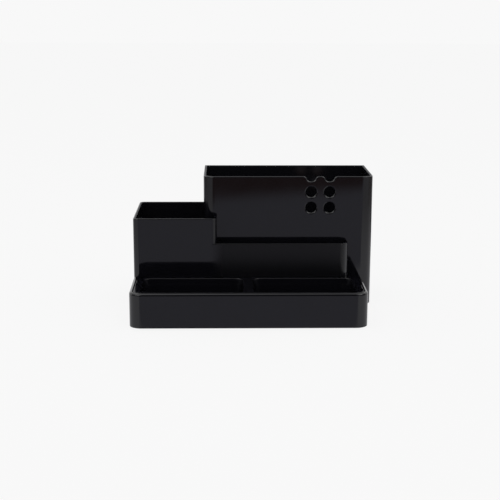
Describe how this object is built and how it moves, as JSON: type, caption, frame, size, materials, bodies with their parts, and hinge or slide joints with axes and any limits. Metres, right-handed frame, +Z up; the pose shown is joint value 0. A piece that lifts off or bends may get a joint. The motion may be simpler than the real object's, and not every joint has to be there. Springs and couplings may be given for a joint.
{
  "type": "pen holder",
  "caption": "Black desk pen holder: low front tray with a lift-out pocketed insert, square pen cup, narrow phone slot and a tall rear pen box with round holes.",
  "frame": {"origin": "middle of the footprint, on the desk", "axes": "+X along the tray's front towards its right end, +Y from front to back, +Z up"},
  "size_m": [0.19, 0.131, 0.1053],
  "materials": {
    "black_plastic": "polished injection moulding, black",
    "foot_rubber": "matt, non-slip"
  },
  "bodies": {
    "base": {"base_pan": "black_plastic", "cup_and_fence": "black_plastic", "foot_pan_front_left": "foot_rubber", "foot_pan_front_right": "foot_rubber", "foot_pan_back_left": "foot_rubber", "foot_pan_back_right": "foot_rubber", "foot_cup_front": "foot_rubber", "foot_cup_back": "foot_rubber"},
    "insert": {"tray_insert": "black_plastic"},
    "box": {"rear_box": "black_plastic", "foot_box_front_left": "foot_rubber", "foot_box_front_right": "foot_rubber", "foot_box_back_left": "foot_rubber", "foot_box_back_right": "foot_rubber"}
  },
  "joints": [
    {"name": "insert_lift", "type": "slide", "parent": "base", "child": "insert", "axis": [0, 0, 1], "range_m": [0, 0.0246]},
    {"name": "box_lift", "type": "slide", "parent": "base", "child": "box", "axis": [0, 0, 1], "range_m": [0, 0.018]}
  ]
}
